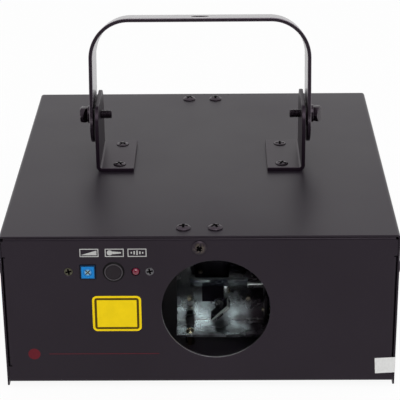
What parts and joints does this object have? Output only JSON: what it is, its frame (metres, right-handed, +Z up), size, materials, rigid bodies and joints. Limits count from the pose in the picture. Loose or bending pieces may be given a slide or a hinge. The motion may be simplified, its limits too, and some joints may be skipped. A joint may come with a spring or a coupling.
{
  "type": "laser show projector",
  "caption": "Black sheet-metal laser show projector: flat box with a round front window, sound controls and a tilting hanging yoke on top; plugs, fan and dials at the rear.",
  "frame": {"origin": "on the standing surface under the rubber feet, in the middle of the outline", "axes": "+Z up, front panel with the window towards -Y, +X to the right seen from the front"},
  "size_m": [0.2542, 0.2801, 0.2104],
  "materials": {
    "case_paint": "satin black powder coat",
    "bracket_paint": "satin black powder coat",
    "black_screw": "black oxide",
    "yoke_bolt_steel": "black oxide",
    "panel_screw_steel": "dull bare metal",
    "bare_steel": "zinc plated",
    "control_screw_steel": "nickel plated",
    "black_rubber": "matt",
    "washer_plastic": "matt",
    "clear_glass": "clear float glass",
    "fuse_glass": "glass tube with metal caps",
    "board_laminate": "circuit board",
    "spacer_brass": "turned",
    "contact_metal": "nickel plated",
    "trimmer_blue": "semi-gloss",
    "trimmer_brass": "turned",
    "microphone_black": "felt-faced",
    "lamp_red": "tinted lens",
    "bench_aluminium": "mill finish",
    "laser_barrel": "anodised",
    "motor_black": "satin",
    "scan_mirror": "first-surface",
    "shaft_steel": "ground",
    "wire_insulation": "matt",
    "black_plastic": "moulded",
    "guard_chrome": "bright plated",
    "dial_white": "moulded"
  },
  "bodies": {
    "housing": {"base_tray": "case_paint", "top_cover": "case_paint", "cover_screws": "black_screw", "front_panel_screw": "panel_screw_steel", "left_bracket": "bracket_paint", "right_bracket": "bracket_paint", "bracket_screws": "black_screw", "bracket_nuts": "bare_steel", "friction_washers": "washer_plastic", "feet": "black_rubber", "foot_screws": "bare_steel", "window_gasket": "black_rubber", "window_glass": "clear_glass", "window_clip": "bare_steel", "control_board": "board_laminate", "control_board_screws": "control_screw_steel", "spacers": "spacer_brass", "board_screws": "bare_steel", "sensitivity_pot": "trimmer_blue", "microphone": "microphone_black", "microphone_boot": "black_rubber", "sound_led": "lamp_red", "optics_bench": "bench_aluminium", "optics_screws": "bare_steel", "x_scan_motor": "motor_black", "y_scan_motor": "motor_black", "laser_mount": "bench_aluminium", "red_laser_module": "laser_barrel", "green_laser_module": "laser_barrel", "combiner_mirror": "scan_mirror", "main_board": "board_laminate", "power_supply": "board_laminate", "mains_wiring": "wire_insulation", "signal_wiring": "wire_insulation", "mains_inlet": "black_plastic", "rear_contacts": "contact_metal", "power_switch": "black_plastic", "dmx_in_socket": "black_plastic", "dmx_out_socket": "black_plastic", "dmx_out_core": "black_plastic", "address_switches": "black_plastic", "fan_frame": "black_plastic", "fan_guard": "guard_chrome", "safety_lug": "bracket_paint", "rear_screws": "black_screw"},
    "yoke": {"yoke": "bracket_paint"},
    "left_yoke_bolt": {"left_yoke_bolt": "yoke_bolt_steel"},
    "right_yoke_bolt": {"right_yoke_bolt": "yoke_bolt_steel"},
    "sensitivity_rotor": {"sensitivity_rotor": "trimmer_brass"},
    "x_scanner": {"x_mirror": "scan_mirror", "x_mirror_holder": "shaft_steel"},
    "y_scanner": {"y_mirror": "scan_mirror", "y_mirror_holder": "shaft_steel"},
    "fan_rotor": {"fan_rotor": "black_plastic"},
    "power_rocker": {"power_rocker": "black_plastic"},
    "fuse_drawer": {"fuse_drawer": "black_plastic", "fuse": "fuse_glass"},
    "address_dial_units": {"address_dial_units": "dial_white"},
    "address_dial_tens": {"address_dial_tens": "dial_white"},
    "address_dial_hundreds": {"address_dial_hundreds": "dial_white"}
  },
  "joints": [
    {"name": "yoke_tilt", "type": "hinge", "parent": "housing", "child": "yoke", "pos_m": [0, -0.0079, 0.1412], "axis": [-1, 0, 0], "range_deg": [-113.3, 86.7]},
    {"name": "left_bolt_turn", "type": "hinge", "parent": "housing", "child": "left_yoke_bolt", "pos_m": [-0.075, -0.0079, 0.1412], "axis": [-1, 0, 0], "range_deg": [0, 360]},
    {"name": "right_bolt_turn", "type": "hinge", "parent": "housing", "child": "right_yoke_bolt", "pos_m": [0.075, -0.0079, 0.1412], "axis": [1, 0, 0], "range_deg": [0, 360]},
    {"name": "sensitivity_turn", "type": "hinge", "parent": "housing", "child": "sensitivity_rotor", "pos_m": [-0.07, -0.1389, 0.0845], "axis": [0, -1, 0], "range_deg": [-130, 130]},
    {"name": "x_scan", "type": "hinge", "parent": "housing", "child": "x_scanner", "pos_m": [0.012, -0.0879, 0.0322], "axis": [0, 1, 0], "range_deg": [-20, 20]},
    {"name": "y_scan", "type": "hinge", "parent": "housing", "child": "y_scanner", "pos_m": [0.012, -0.0879, 0.0513], "axis": [1, 0, 0], "range_deg": [-20, 20]},
    {"name": "fan_spin", "type": "hinge", "parent": "housing", "child": "fan_rotor", "pos_m": [-0.0085, 0.1134, 0.057], "axis": [0, 1, 0], "continuous": true},
    {"name": "power_rock", "type": "hinge", "parent": "housing", "child": "power_rocker", "pos_m": [-0.0925, 0.1203, 0.0804], "axis": [1, 0, 0], "range_deg": [0, 20]},
    {"name": "fuse_slide", "type": "slide", "parent": "housing", "child": "fuse_drawer", "axis": [0, 1, 0], "range_m": [0, 0.018]},
    {"name": "dial_units_turn", "type": "hinge", "parent": "housing", "child": "address_dial_units", "pos_m": [0.0665, 0.1221, 0.02105], "axis": [0, 1, 0], "continuous": true},
    {"name": "dial_tens_turn", "type": "hinge", "parent": "housing", "child": "address_dial_tens", "pos_m": [0.0815, 0.1221, 0.02105], "axis": [0, 1, 0], "continuous": true},
    {"name": "dial_hundreds_turn", "type": "hinge", "parent": "housing", "child": "address_dial_hundreds", "pos_m": [0.0965, 0.1221, 0.02105], "axis": [0, 1, 0], "continuous": true}
  ]
}
